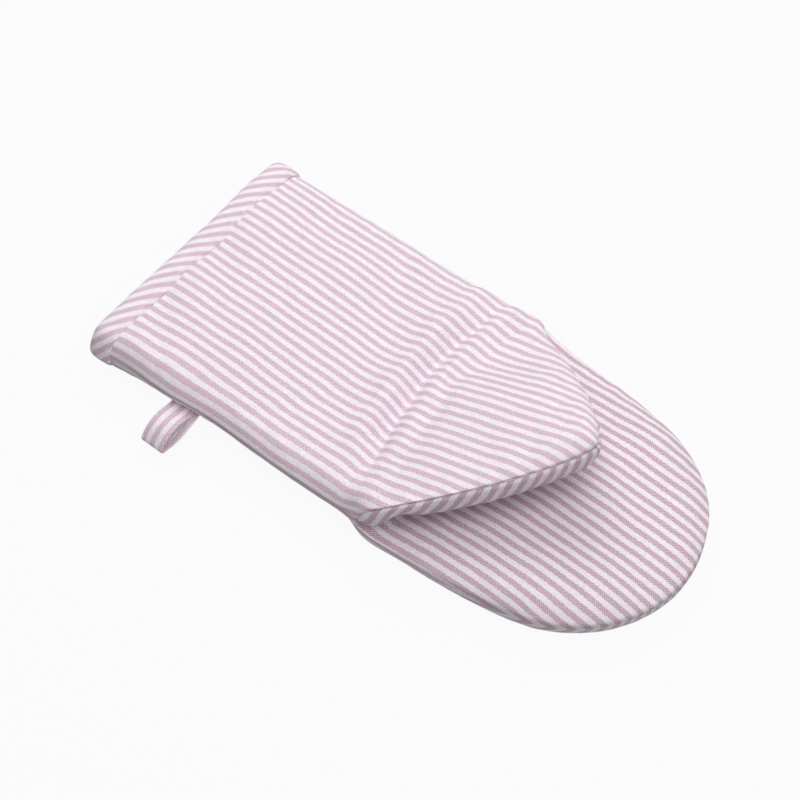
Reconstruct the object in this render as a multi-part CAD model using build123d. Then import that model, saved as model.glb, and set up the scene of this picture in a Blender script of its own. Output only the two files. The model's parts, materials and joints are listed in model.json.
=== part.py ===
"""Two-pocket oven mitt of striped cloth, lying on its finger side with the thumb pocket raised.

Millimetres. X runs from the cuff to the fingertips, Y across the hand, Z up from the face it lies on.
Every wall is three layers, outer cloth, wadding and lining, nested at constant depths below the outside.
"""
import os
from math import cos, radians, sin, tan

from build123d import *

# Overall form of the mitt as it lies
mitt_length = 330.0
mitt_width = 158.0
seam_height = 11.0
bottom_round = 10.0
wrist_height = 27.0
wrist_round = 14.0

# Finger pocket
finger_round_length = 130.0
finger_fullness_along = 0.66
finger_fullness_across = 0.62
finger_height = 21.0
finger_crown_x = 80.0
fingertip_height = 17.0
tip_fall = 0.2
finger_round = 8.0

# Crotch fold that the thumb pocket turns on, and the thumb pocket itself
crotch_x = 14.0
crotch_height = 16.5
thumb_raise = 25.0
thumb_skew = 5.0
thumb_length = 98.0
thumb_base_width = 158.0
thumb_thickness = 18.0
thumb_seam_height = 11.0
thumb_top_round = 6.5
thumb_under_round = 9.0
thumb_shoulder = 30.0
thumb_shoulder_drop = 8.0
thumb_tip_width = 48.0

# Layers of each wall
outer_cloth = 0.8
wadding = 3.4
lining = 0.8

# Binding folded over the raw edge of the cuff
binding_width = 12.0
binding_cloth = 0.8

# Hanging loop of folded tape in the near side seam
loop_x = -102.0
loop_width = 15.0
loop_reach = 28.0
loop_tape = 1.2
loop_end_radius = 4.6
loop_tab = 5.0
loop_droop = 16.0

# Running gaps and the room left for the crease to crumple in
fold_gap = 0.3
loop_gap = 0.3
crease_room = 1.5

# Worked out from the sizes above
cuff_x = -mitt_length / 2
tip_x = mitt_length / 2
half_width = mitt_width / 2
wall = outer_cloth + wadding + lining
finger_start = tip_x - finger_round_length
binding_end = cuff_x + binding_width
valley_back = thumb_thickness + crease_room
overrun = mitt_width / 4
reach = mitt_length + mitt_width

# Depths below the outside, along the mitt and pressed down under the binding
cloth_depth = (0.0, outer_cloth)
wadding_depth = (outer_cloth, outer_cloth + wadding)
lining_depth = (outer_cloth + wadding, wall)
bound_cloth_depth = (binding_cloth, binding_cloth + outer_cloth)
bound_wadding_depth = (binding_cloth + outer_cloth, wall - binding_cloth - lining)
bound_lining_depth = (wall - binding_cloth - lining, wall - binding_cloth)

# Frames of the crotch fold and of the thumb pocket, X away from the wrist
fold_frame = Location((crotch_x, 0, crotch_height), (0, 0, thumb_skew))
thumb_frame = fold_frame * Location((0, 0, 0), (0, -thumb_raise, 0))


def slab(x_from=-reach, x_to=reach, z_from=-reach, z_to=reach):
    """Block right across the mitt, used to keep or to cut away a stretch of it."""
    middle = Pos((x_from + x_to) / 2, 0, (z_from + z_to) / 2)
    return middle * Box(x_to - x_from, 2 * reach, z_to - z_from)


def layer(form, depths):
    """Shell of a form between two depths below its outside."""
    return form(depths[0]) - form(depths[1])


def rim_of(face, back):
    """Edges of a face, apart from the straight one that closes its back end."""
    return [edge for edge in face.edges() if edge.bounding_box().max.X > back + wall]


def both_sides(edges, back, tip):
    """Face between the middle line and an outline drawn on one side, with its mirror image."""
    closing = [Line(tip, (back[0], 0)), Line((back[0], 0), back)]
    half = make_face([*edges, *closing])
    return half + mirror(half, about=Plane.XZ)


def mitt_outline(depth, start):
    """Plan of the mitt, straight along the wrist and rounded at the fingertips."""
    edge = half_width - depth
    tip = tip_x - depth
    lead = finger_fullness_along * finger_round_length
    straight = Line((start, edge), (finger_start, edge))
    rounding = Bezier(
        (finger_start, edge),
        (finger_start + lead, edge),
        (tip, finger_fullness_across * edge),
        (tip, 0),
    )
    return both_sides([straight, rounding], (start, edge), (tip, 0))


def finger_back(depth):
    """Long lower half of the mitt below the side seam, its under edge rounded."""
    start = cuff_x - overrun
    tray = Pos(0, 0, depth) * extrude(mitt_outline(depth, start), seam_height - depth)
    under = tray.faces().sort_by(Axis.Z)[0]
    return fillet(rim_of(under, start), bottom_round - depth)


def wrist_arch(depth):
    """Upper half of the wrist tube above the side seam."""
    tube = Box(mitt_length + 2 * overrun, mitt_width - 2 * depth, 2 * (wrist_height - depth))
    ridges = tube.edges().filter_by(Axis.X).group_by(Axis.Z)[-1]
    return fillet(ridges, wrist_round - depth) - slab(z_to=seam_height)


def finger_cover(depth):
    """Upper half of the finger pocket, swelling from the crotch and falling to the tip."""
    start = crotch_x - overrun
    near_crotch = crotch_x + half_width * tan(radians(thumb_skew))
    low = crotch_height - fold_gap - depth
    tip = (tip_x, fingertip_height - depth)
    swell = Spline(
        (near_crotch, low),
        (finger_crown_x, finger_height - depth),
        tip,
        tangents=[(1, 0), (1, -tip_fall)],
    )
    ahead = Line(tip, (tip_x + overrun, tip[1] - tip_fall * overrun))
    behind = Line((start, low), (near_crotch, low))
    floor = [Line(ahead @ 1, (tip_x + overrun, 0)), Line((tip_x + overrun, 0), (start, 0))]
    side = make_face([behind, *swell.edges(), ahead, *floor, Line((start, 0), behind @ 0)])
    profile = extrude(Plane.XZ * side, reach, both=True)
    pocket = extrude(mitt_outline(depth, start), reach) & profile
    top_faces = pocket.faces().filter_by(lambda face: face.normal_at().Z > 0.9)
    rim = [edge for face in top_faces for edge in rim_of(face, start)]
    rim = [edge for edge in rim if edge.bounding_box().size.X > wall]
    return fillet(rim, finger_round - depth) - slab(z_to=seam_height)


def thumb_pocket(depth):
    """Whole thumb pocket in its own frame, lying along X from the fold."""
    edge = thumb_base_width / 2 - depth
    tip = thumb_length - depth
    lead_in = (-thumb_shoulder, edge + thumb_shoulder_drop)
    straight = Line(lead_in, (0, edge))
    rounding = Bezier(
        (0, edge),
        (thumb_shoulder, edge - thumb_shoulder_drop),
        (tip, thumb_tip_width / 2),
        (tip, 0),
    )
    outline = both_sides([straight, rounding], lead_in, (tip, 0))
    low = fold_gap + depth
    block = Pos(0, 0, low) * extrude(outline, thumb_thickness - depth - low)
    under = block.faces().sort_by(Axis.Z)[0]
    block = fillet(rim_of(under, -thumb_shoulder), thumb_under_round - depth)
    top = block.faces().sort_by(Axis.Z)[-1]
    return fillet(rim_of(top, -thumb_shoulder), thumb_top_round - depth)


def crease_arch(station, height, rounding, width, depth):
    """Arch across the mitt at a station of the fold frame."""
    top = height - depth
    arch = Rectangle(width - 2 * depth, top + overrun)
    arch = fillet(arch.vertices().group_by(Axis.Y)[-1], rounding - depth)
    frame = fold_frame * Location((station, 0, -crotch_height + (top - overrun) / 2))
    return frame * (Plane.YZ * arch)


def crease(depth):
    """Strip of the top panel that crumples between the wrist and the thumb pocket."""
    thumb_top = crotch_height + thumb_thickness / cos(radians(thumb_raise))
    across_skew = mitt_width / cos(radians(thumb_skew))
    wrist_end = crease_arch(-valley_back, wrist_height, wrist_round, across_skew, depth)
    thumb_end = crease_arch(0, thumb_top, thumb_top_round, thumb_base_width, depth)
    return loft([wrist_end, thumb_end], ruled=True)


def bound_layer(form, depths, bound_depths, step):
    """Layer that steps under the binding at the cuff."""
    both = (min(depths[0], bound_depths[0]), max(depths[1], bound_depths[1]))
    along = layer(form, depths) & slab(x_from=binding_end)
    joggle = layer(form, both) & slab(binding_end, binding_end + step)
    bound = layer(form, bound_depths) & slab(cuff_x + binding_cloth, binding_end)
    return along + joggle + bound


def bound_wadding(form):
    """Wadding, pressed thin where the cloth and the lining step under the binding."""
    step_end = binding_end + max(outer_cloth, lining)
    along = layer(form, wadding_depth) & slab(x_from=step_end)
    return along + (layer(form, bound_wadding_depth) & slab(cuff_x + binding_cloth, step_end))


def cuff_binding():
    """Strip folded over the cuff's raw edge, outside and inside, all the way round."""
    outside = (0.0, binding_cloth)
    inside = (wall - binding_cloth, wall)
    ring = Part()
    for form in (finger_back, wrist_arch):
        leaves = (layer(form, outside) + layer(form, inside)) & slab(cuff_x, binding_end)
        ring += leaves
        ring += layer(form, (0.0, wall)) & slab(cuff_x, cuff_x + binding_cloth)
    return ring


def walls(form, keep, frame):
    """Cloth, wadding and lining of a half pocket, the lining turned up over the wadding at the fold."""
    turn_up = slab(0, lining)
    padded = layer(form, wadding_depth) & keep
    cloth = layer(form, cloth_depth) & keep
    inner = (layer(form, lining_depth) & keep) + (padded & (frame * turn_up))
    return cloth, padded - (frame * turn_up), inner


def loop_outline(start, inset):
    """Side view of the loop's outside, or of its eye when inset by the tape, arched above and flat below."""
    bend_radius = loop_end_radius - inset
    bend_x = loop_reach - loop_end_radius
    low = inset - loop_tape
    high = low + 2 * bend_radius
    sew_line = loop_tape - inset
    swing = (bend_x - start) / 2
    bend = ThreePointArc((bend_x, low), (bend_x + bend_radius, low + bend_radius), (bend_x, high))
    upper = Bezier((bend_x, high), (bend_x - swing, high), (start + swing, sew_line), (start, sew_line))
    lower = Line((start, low), (bend_x, low))
    if start > 0:
        return make_face([lower, bend, upper])
    root = ThreePointArc((start, sew_line), (start - loop_tape, 0), (start, low))
    return make_face([lower, bend, upper, root])


def hanging_loop():
    """Tape doubled back on itself, its end rounded about the seam it is sewn into."""
    tape = loop_outline(0, 0) - loop_outline(loop_tab, loop_tape)
    root = (loop_x, -half_width - loop_gap - loop_tape, seam_height)
    droop = radians(loop_droop)
    frame = Plane(root, x_dir=(0, -cos(droop), -sin(droop)), z_dir=(-1, 0, 0))
    return frame * extrude(tape, loop_width / 2, both=True)


def build():
    """All pieces by name."""
    pieces = {}
    step = outer_cloth
    pieces["finger_back_cloth"] = bound_layer(finger_back, cloth_depth, bound_cloth_depth, step)
    pieces["finger_back_wadding"] = bound_wadding(finger_back)
    pieces["finger_back_lining"] = bound_layer(finger_back, lining_depth, bound_lining_depth, lining)

    ahead_of_valley = fold_frame * slab(x_from=-valley_back)
    pieces["wrist_cloth"] = bound_layer(wrist_arch, cloth_depth, bound_cloth_depth, step) - ahead_of_valley
    pieces["wrist_wadding"] = bound_wadding(wrist_arch) - ahead_of_valley
    pieces["wrist_lining"] = bound_layer(wrist_arch, lining_depth, bound_lining_depth, lining) - ahead_of_valley

    thumb_space = thumb_frame * slab(x_from=-fold_gap, z_from=-wall)
    above_seam = slab(z_from=seam_height) - thumb_space
    names = ("cloth", "wadding", "lining")
    for name, depths in zip(names, (cloth_depth, wadding_depth, lining_depth)):
        pieces["crease_" + name] = layer(crease, depths) & above_seam

    for name, piece in zip(names, walls(finger_cover, fold_frame * slab(x_from=0), fold_frame)):
        pieces["grip_finger_" + name] = piece

    under = slab(x_from=0, z_to=thumb_seam_height)
    for name, piece in zip(names, walls(thumb_pocket, under, Location())):
        pieces["grip_thumb_" + name] = thumb_frame * piece
    over = slab(x_from=0, z_from=thumb_seam_height)
    for name, depths in zip(names, (cloth_depth, wadding_depth, lining_depth)):
        pieces["thumb_" + name] = thumb_frame * (layer(thumb_pocket, depths) & over)

    pieces["cuff_binding"] = cuff_binding()
    pieces["hanging_loop"] = hanging_loop()
    return pieces


os.makedirs("parts", exist_ok=True)
for node, shape in build().items():
    export_step(shape, "parts/" + node + ".step")
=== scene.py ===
"""Oven mitt of striped cloth: quilted panels, linings, bias binding and tape loop, dressed round the frame.

Sizes are in millimetres in the mitt's own frame, and MM turns them into metres when a mesh is made.
X runs from the cuff to the fingertips, Y across the hand, Z up from the face that the mitt lies on.
"""
import json
import math

import bpy
import numpy as np
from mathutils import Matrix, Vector, noise


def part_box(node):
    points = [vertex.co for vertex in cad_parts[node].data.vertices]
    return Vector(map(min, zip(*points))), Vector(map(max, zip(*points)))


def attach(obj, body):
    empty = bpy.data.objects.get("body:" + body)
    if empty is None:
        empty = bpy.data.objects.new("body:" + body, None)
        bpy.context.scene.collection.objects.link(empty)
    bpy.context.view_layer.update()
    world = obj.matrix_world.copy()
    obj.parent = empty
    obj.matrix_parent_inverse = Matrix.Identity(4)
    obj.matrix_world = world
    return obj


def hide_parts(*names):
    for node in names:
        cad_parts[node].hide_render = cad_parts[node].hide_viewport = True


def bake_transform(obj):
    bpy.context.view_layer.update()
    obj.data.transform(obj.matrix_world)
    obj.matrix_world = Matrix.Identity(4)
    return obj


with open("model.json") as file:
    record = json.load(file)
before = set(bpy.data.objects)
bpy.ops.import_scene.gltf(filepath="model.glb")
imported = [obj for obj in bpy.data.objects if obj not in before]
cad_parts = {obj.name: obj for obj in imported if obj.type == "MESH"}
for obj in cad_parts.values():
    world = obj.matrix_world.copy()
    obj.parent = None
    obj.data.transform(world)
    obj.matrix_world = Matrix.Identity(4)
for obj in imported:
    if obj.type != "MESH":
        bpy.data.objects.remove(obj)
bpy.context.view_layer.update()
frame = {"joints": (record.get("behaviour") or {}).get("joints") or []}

MM = 0.001

# Read from the frame: the long lower half, and the fold that the thumb pocket turns on
back_low, back_high = (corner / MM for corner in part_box("finger_back_cloth"))
cuff_x, tip_x = back_low.x, back_high.x
half_width = back_high.y
seam_z = back_high.z
fold_joint = next(joint for joint in frame["joints"] if joint["name"] == "thumb_fold")
crotch = Vector(fold_joint["pos_m"]) / MM
fold_skew = math.atan2(fold_joint["axis"][0], -fold_joint["axis"][1])
fold_along = np.array([math.cos(fold_skew), math.sin(fold_skew)])
fold_across = np.array([-math.sin(fold_skew), math.cos(fold_skew)])

# Fingertip end of the plan, and how full its curve is
finger_round_length = 130.0
finger_fullness_along = 0.70
finger_fullness_across = 0.66
finger_corner = 0.62

# Wrist tube and finger pocket: heights above the table, the rise towards the cuff, the fall towards the far
# side, and the roundings beside the seams
wrist_z = 25.6
cuff_rise = 2.2
cuff_rise_ends = -140.0, -95.0
far_wrist_from = 40.0
far_wrist_fall = 0.06
wrist_round = 11.0
bottom_round = 11.0
finger_hollow_z = 11.5
finger_z = 21.0
fingertip_z = 17.0
finger_swell = 92.0
finger_fall_from = 95.0
finger_round = 15.0

# Near edge from the wrist to the crotch: how much higher its seam lies, the share of that at the cuff, how
# wide the slopes above and below it are, and where it grows, ends and passes to the far side
near_lift = 5.6
near_at_cuff = 0.55
near_slope, near_under = 10.0, 20.0
near_grows = cuff_x + 13.0, cuff_x + 45.0
near_ends = 14.0, 28.0
near_to_far = -30.0, 30.0

# Thumb pocket: plan, slope of its top, the seam that lies below the top, and where its own form and its far
# half take over
thumb_length = 88.0
thumb_half_width = 79.3
thumb_pointedness = (1.2, 1.3)
thumb_corner_share = 0.72
thumb_top_z = 33.4
thumb_slope = 0.466
thumb_round = 14.0
thumb_seam_drop = 0.4
thumb_tip_drop = 8.0
thumb_far_drop = 5.0
thumb_shoulder = 20.0
thumb_edge_half = 5.5
thumb_far_thinning = 0.5
thumb_takes_over = 0.0, 22.0
thumb_far_half = -4.0, 30.0
under_thumb_rise = 1.0

# Droop of the thumb pocket towards its far edge
droop_from = 4.0
droop_slope = 0.125
droop_bow = 1.15
droop_grows = -25.0, 20.0

# Rolled under edge of the thumb pocket, below its seam: least at the fold, and less on the far side
roll_out = 6.0
roll_down = 12.5
roll_start = math.radians(25.0)
roll_grow = 30.0
roll_rows = 9.0
roll_settle = 20.0
roll_grain = 0.5
roll_least = 0.08
roll_far_narrowing, roll_far_shortening = 0.75, 0.4
roll_puckers = 1.3

# Crease where the top panel crumples before the fold: the bowed line of its valley in the fold frame,
# and the waves on both sides of it, as distance past the valley and height
valley_at, valley_tilt, valley_bow = -19.8, -0.051, 0.0018
valley_wander, valley_wander_size = 1.6, 22.0
crease_waves = (
    (-34.0, 0.0), (-23.0, 1.3), (-16.0, 4.3), (-11.5, 4.0), (0.0, -1.9), (3.5, 1.6), (6.5, 2.8),
    (9.5, 2.4), (15.0, 0.1), (18.5, -0.8), (24.0, 0.2), (36.0, 0.0),
)
crease_softness = 0.4
crease_reach = 56.0
crease_step = 1.6
wave_drift, wave_drift_size = 0.3, 26.0
wrinkle_height, wrinkle_pitch, wrinkle_length = 0.45, 4.5, 26.0
wrinkle_middle, wrinkle_spread = 4.0, 16.0
crease_near_share, crease_near_grows = 0.15, (-76.0, -24.0)
crease_far_loss, crease_far_fades = 0.4, (45.0, 76.0)
wander_seed, drift_seed, wrinkle_seed = 7.0, 3.0, 11.0

# Slow rises and hollows of the wrist, as place in plan, reach and height
swells = (
    ((-96.0, -22.0), (24.0, 42.0), 1.7),
    ((-50.0, 42.0), (28.0, 38.0), -2.2),
)

# Walls, as depths below the outer face, and the least share of its flat size that a lining covers
pad_depth = 3.2
lining_depth = 3.8
lining_inner_depth = 4.5
draw_in_reach = 26.0

# Seams drawn in between the puffed panels, with small puckers, and the slow unevenness of the quilting
seam_groove = 1.8
thumb_groove = 0.5
groove_reach = 1.2
groove_upward = 0.55
pucker_height = 0.55
pucker_pitch = 6.5
pucker_length = 20.0
pucker_starts = 0.0, 2.5
pucker_fades = 5.0, pucker_length
uneven_height = 0.6
uneven_size = 36.0
uneven_starts = 0.0, 14.0

# How this mitt lies: place in plan, reach of the pull, and shift of the cloth there
pulls = (
    ((-166.0, -80.0), (28.0, 30.0), (1.0, -6.6)),
    ((-166.0, 50.0), (30.0, 24.0), (-1.6, 0.0)),
    ((-145.0, 80.0), (42.0, 24.0), (0.0, -2.4)),
    ((-118.0, -80.0), (26.0, 13.0), (0.0, -4.2)),
    ((-40.0, -80.0), (56.0, 12.0), (0.0, -2.2)),
    ((20.0, -80.0), (11.0, 20.0), (-5.0, 0.0)),
    ((27.0, -80.0), (12.0, 26.0), (0.0, -1.6)),
    ((124.0, -66.0), (24.0, 22.0), (-0.3, -1.6)),
    ((2.0, 79.0), (28.0, 26.0), (0.0, 1.9)),
    ((25.0, 80.0), (10.0, 22.0), (-4.0, 0.0)),
    ((20.0, 80.0), (12.0, 16.0), (0.0, 3.6)),
    ((65.0, 75.0), (22.0, 24.0), (0.0, -1.6)),
    ((92.0, 68.0), (16.0, 22.0), (0.0, -1.4)),
    ((165.0, -5.0), (14.0, 24.0), (1.4, 0.0)),
)

# Binding over the cuff: its section as distance past the cuff's edge and height off its outside, its puckers,
# and where the layers that it covers start
binding_width = 12.3
binding_tuck = 0.8
binding_tuck_ends = -0.8, 1.0
binding_thickness = 0.7
binding_sag = 0.3
binding_section = (
    (12.9, -0.9), (12.5, -0.3), (11.8, 0.3), (9.5, 0.7), (6.0, 0.95), (2.0, 0.8), (-0.8, 0.1),
    (-2.7, -1.4), (-3.3, -3.2), (-2.9, -4.8), (-1.3, -6.0), (2.0, -6.5), (7.0, -6.5), (11.0, -6.2),
)
binding_step, binding_rows, binding_softening = 2.6, 29, 2
binding_pucker_height, binding_pucker_size = 0.35, 16.0
binding_puckers_round = 14
binding_pucker_starts = 1.0, 5.0
panel_start = cuff_x + 3.0
lining_start = cuff_x + 8.0

# Tape loop in the near side seam: how far it droops, how far one end is sewn in beside the other, where the
# tape bends, and its side view as distance out of the seam and height
loop_x = -102.0
loop_width = 15.0
loop_tape = 1.3
loop_droop = math.radians(14.0)
loop_root_gap = 1.2
loop_skew = 3.0
loop_skew_shares = 0.42, 0.75
loop_rows, loop_columns, loop_softening = 60, 15, 6
loop_side_view = (
    (-5.0, 0.7), (2.0, 1.4), (7.0, 4.6), (14.0, 6.4), (20.0, 5.2), (25.5, 2.2), (27.6, 0.9),
    (27.9, 0.1), (26.5, -0.5), (20.0, -0.9), (10.0, -0.9), (3.0, -0.6), (-5.0, -0.4),
)

# How the two halves of a grip layer come together at the crotch fold
fold_join_reach = 14.0
fold_side_reach = 6.0
fold_turn_reach = 6.0

# Mesh steps, with finer rows towards a seam
mesh_step = 2.7
bottom_mesh_step = 3.8
seam_rows = (0.0, 0.25, 0.9, 1.9, 3.3, 5.2, 7.6, 10.5)
weld_gap = 0.02

# Points taken along the curves, before they are dealt out again at the mesh steps
straight_points, finger_points, thumb_points = 60, 160, 240
cut_points, roll_points, cuff_points = 200, 60, 400

# Filling out the padded panels in the cloth simulation, free from a distance off their seams
filling_free = 1.0, 9.0
filling_quality = 4
filling_pressure = 1.0
filling_slack = 0.01
filling_steps = 20
filling_cap = 2.0

# Cloth: stripes, yarns and their colours
stripe_repeat = 5.75
stripe_turn = 0.25
stripe_turn_grows = -25.0, 15.0
stripe_waver, waver_range = 0.45, (0.25, 0.75)
stripe_fray = 0.09
stripe_edge = 0.44, 0.56
rounding_cloth = 1.1
bias_turn = math.radians(-50.0)
top_shift, grip_shift, bottom_shift = -0.75, -2.2, 1.4
yarn = 0.62
yarn_relief = 0.15
cross_yarn = 0.35
yarn_shade = 0.88
fading_range = 0.36, 0.64
cloth_whites = (0.91, 0.81, 0.88), (0.87, 0.81, 0.88)
cloth_pinks = (0.6, 0.35, 0.46), (0.53, 0.38, 0.46)
# Grip panel: whites nearly those of the other panels. Its pinks are a little deeper in the cloth itself and
# darker again with painted shade, which stands for the thumb pocket's soft shadow on the finger part
grip_whites = (0.9, 0.8, 0.87), (0.86, 0.8, 0.87)
grip_pinks_with_painted_shade = (0.495, 0.245, 0.34), (0.43, 0.28, 0.355)
lining_whites = (0.82, 0.8, 0.78), (0.7, 0.68, 0.66)
thread_pinks = (0.84, 0.76, 0.8), (0.7, 0.6, 0.66)

# Machine stitches
stitch_length, stitch_gap = 2.6, 0.9
stitch_thread = 0.5
stitch_rise, stitch_sink = 0.12, 0.3
stitch_taper = 0.35
stitch_bends, stitch_sides = 7, 5
binding_stitch_row = 3
loop_stitch_rows = slice(2, -2)

# Floor, surround and lamps, with the lamps' places and sizes in metres and their power in watts
floor_size, floor_drop = 6000.0, 0.6
floor_glow = 0.94
surround_strength = 0.28
lamps = (
    ("key_lamp", (-0.5, 0.5, 0.95), 0.8, 8.0),
    ("front_lamp", (0.45, -0.55, 1.1), 1.0, 3.3),
    ("top_lamp", (0.4, 0.1, 1.22), 0.9, 7.1),
)


def ease(low, high, value):
    """Smooth step from 0 at low to 1 at high."""
    t = np.clip((value - low) / (high - low), 0.0, 1.0)
    return t * t * (3 - 2 * t)


def bump(value, middle, width):
    """Bell of height 1 about the middle."""
    return np.exp(-(((value - middle) / width) ** 2))


def mound(x, y, place, reach, height=1.0):
    """Bell over the plan about a place, with its reach along and across the mitt."""
    return height * bump(x, place[0], reach[0]) * bump(y, place[1], reach[1])


def blended(a, b, share):
    """Passes from a to b as the share goes from 0 to 1."""
    return a * (1 - share) + b * share


def quarter_round(share):
    """Rise of a quarter circle, upright at 0 and level from 1."""
    t = np.clip(share, 0.0, 1.0)
    return np.sqrt(np.maximum(1 - (1 - t) ** 2, 0.0))


def soft_round(share):
    """Rise of a shallow curve, sloping at 0 and level from 1."""
    t = np.clip(share, 0.0, 1.0)
    return 1 - (1 - t) ** 2


def side_rise(inset, rounding, slope, near):
    """Rise inward from a side seam: a quarter round, which passes to a soft slope along the near wrist."""
    return blended(quarter_round(inset / rounding), soft_round(inset / slope), near)


def to_fold(x, y):
    """Place along and across the fold of a point in plan."""
    dx = x - crotch.x
    along = dx * fold_along[0] + y * fold_along[1]
    across = dx * fold_across[0] + y * fold_across[1]
    return along, across


def from_fold(along, across):
    """Point in plan at a place along and across the fold."""
    x = crotch.x + along * fold_along[0] + across * fold_across[0]
    y = along * fold_along[1] + across * fold_across[1]
    return np.stack([x, y], axis=-1)


def uneven(*places):
    """Smooth unevenness between about -1 and 1 at places given by up to three coordinates."""
    grids = np.broadcast_arrays(*places)
    flat = np.stack([grid.ravel() for grid in grids], axis=-1)
    values = [noise.noise(Vector(place)) for place in flat]
    return np.array(values).reshape(grids[0].shape)


def lengths_along(path):
    """Distance from the start to each point of a path."""
    return np.concatenate([[0.0], np.cumsum(np.linalg.norm(np.diff(path, axis=0), axis=1))])


def path_length(path):
    """Whole length of a path."""
    return float(lengths_along(path)[-1])


def read_along(values, run, at):
    """Values given at distances along a path, read at other distances."""
    return np.stack([np.interp(at, run, column) for column in values.T], axis=-1)


def resample(path, shares):
    """Points at shares of a path's length."""
    run = lengths_along(path)
    return read_along(path, run, np.asarray(shares) * run[-1])


def smoothed(path, rounds):
    """Path with its corners eased, ends kept."""
    for _ in range(rounds):
        path[1:-1] = (path[:-2] + 2 * path[1:-1] + path[2:]) / 4
    return path


def out_and_back(out, back):
    """One path out along the first and back along the second, which end at the same point."""
    return np.concatenate([out, back[::-1][1:]])


def left_side(path):
    """Unit normals on the left of a path."""
    ahead = np.gradient(path, axis=0)
    return np.stack([-ahead[:, 1], ahead[:, 0]], -1) / np.linalg.norm(ahead, axis=1)[:, None]


def shares_along(length, fine_start=False, fine_end=False, step=mesh_step):
    """Shares of a length about a step apart, with finer rows at the ends that are seams."""
    first = list(seam_rows) if fine_start else [0.0]
    last = [length - row for row in reversed(seam_rows)] if fine_end else [length]
    gap = last[0] - first[-1]
    count = max(int(round(gap / step)), 1)
    middle = [first[-1] + gap * k / count for k in range(1, count)]
    return np.array(first + middle + last) / length


def finger_rim(start_x):
    """Plan of one long edge, from a start beside the wrist to the middle of the fingertips."""
    finger_start = tip_x - finger_round_length
    lead = finger_fullness_along * finger_round_length
    t = np.linspace(0, 1, finger_points)[:, None]
    a, b = np.array([finger_start, half_width]), np.array([finger_start + lead, half_width])
    c, d = np.array([tip_x, finger_fullness_across * half_width]), np.array([tip_x, 0.0])
    curve = (1 - t) ** 3 * a + 3 * t * (1 - t) ** 2 * b + 3 * t * t * (1 - t) * c + t**3 * d
    straight_x = np.linspace(start_x, finger_start, straight_points)
    straight = np.stack([straight_x, np.full(straight_points, half_width)], axis=-1)
    return np.concatenate([straight[:-1], curve])


def thumb_rim():
    """Plan of one edge of the thumb pocket in the fold frame, from the fold to the middle of its tip."""
    angle = np.linspace(math.pi / 2, 0, thumb_points)
    along = thumb_length * np.maximum(np.cos(angle), 0) ** (2 / thumb_pointedness[0])
    across = thumb_half_width * np.maximum(np.sin(angle), 0) ** (2 / thumb_pointedness[1])
    return np.stack([along, across], axis=-1)


def split_path(path, share):
    """A path cut in two at a share of its length."""
    first = resample(path, np.linspace(0, share, cut_points))
    second = resample(path, np.linspace(share, 1, cut_points))
    return first, second


def mirrored(path):
    """A far edge in plan turned into the near one."""
    return path * np.array([1.0, -1.0])


def fill_patch(near, far, start, end, u):
    """Grid filled in between four edges, with rows from start to end and columns from near to far."""
    v = lengths_along(start)
    v = (v / v[-1])[None, :, None]
    u = np.asarray(u)[:, None, None]
    between_sides = blended(near[:, None], far[:, None], v)
    between_ends = blended(start[None], end[None], u)
    corners = blended(blended(start[0], start[-1], v), blended(end[0], end[-1], v), u)
    return between_sides + between_ends - corners


def nearest_on_rim(points, rim):
    """Distance of each point from a rim in plan, the nearest rim point, the outward normal and run there."""
    flat = points.reshape(-1, 2)
    a, b = rim[:-1], rim[1:]
    span = b - a
    length = np.linalg.norm(span, axis=1)
    t = ((flat[:, None] - a[None]) * span[None]).sum(-1) / (length**2)[None]
    t = np.clip(t, 0, 1)
    foot = a[None] + t[..., None] * span[None]
    gap = np.linalg.norm(flat[:, None] - foot, axis=-1)
    best = gap.argmin(axis=1)
    rows = np.arange(len(flat))
    normal = np.stack([span[:, 1], -span[:, 0]], axis=-1) / length[:, None]
    run = lengths_along(rim)[best] + t[rows, best] * length[best]
    grid = points.shape[:-1]
    return (
        gap[rows, best].reshape(grid),
        foot[rows, best].reshape(points.shape),
        normal[best].reshape(points.shape),
        run.reshape(grid),
    )


class Patch:
    """A cloth layer's grid in plan, drawn in from the outer seams by its depth, and how it lies to them."""

    def __init__(self, plan, rim, depth):
        inset, self.foot, self.normal, self.run = nearest_on_rim(plan, rim)
        inset[:, 0] = inset[:, -1] = inset[-1, :] = 0.0
        drawn = depth * np.clip(1 - inset / draw_in_reach, 0.0, 1.0)
        self.depth = depth
        self.plan = plan - self.normal * drawn[..., None]
        self.inset = inset + drawn - depth
        self.x, self.y = self.plan[..., 0], self.plan[..., 1]
        self.along, self.across = to_fold(self.x, self.y)
        rim_x, rim_y = self.foot[..., 0], self.foot[..., 1]
        self.on_thumb = ease(*thumb_takes_over, self.along)
        self.far_side = ease(*thumb_far_half, to_fold(rim_x, rim_y)[1]) * self.on_thumb
        from_cuff = blended(near_at_cuff, 1.0, ease(*near_grows, rim_x))
        self.near_wrist = from_cuff * (1 - ease(*near_ends, rim_x)) * (1 - ease(*near_to_far, rim_y))
        self.side_seam = seam_z + near_lift * self.near_wrist


def rounded_patch(start_near_x, start_far_x, depth, step=mesh_step):
    """Grid over the plan from a straight start to the rounded fingertips."""
    near_half, far_half = finger_rim(start_near_x), finger_rim(start_far_x)
    past_corner = (1 - finger_corner) * path_length(finger_rim(0))
    near_side, near_end = split_path(mirrored(near_half), 1 - past_corner / path_length(near_half))
    far_side, far_end = split_path(far_half, 1 - past_corner / path_length(far_half))
    end_path = out_and_back(near_end, far_end)
    u = shares_along(path_length(near_side), fine_end=True, step=step)
    start_path = np.array([near_side[0], far_side[0]])
    v = shares_along(path_length(start_path), fine_start=True, fine_end=True, step=step)
    start, end = resample(start_path, v), resample(end_path, v)
    grid = fill_patch(resample(near_side, u), resample(far_side, u), start, end, u)
    return Patch(grid, out_and_back(mirrored(near_half), far_half), depth)


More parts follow.
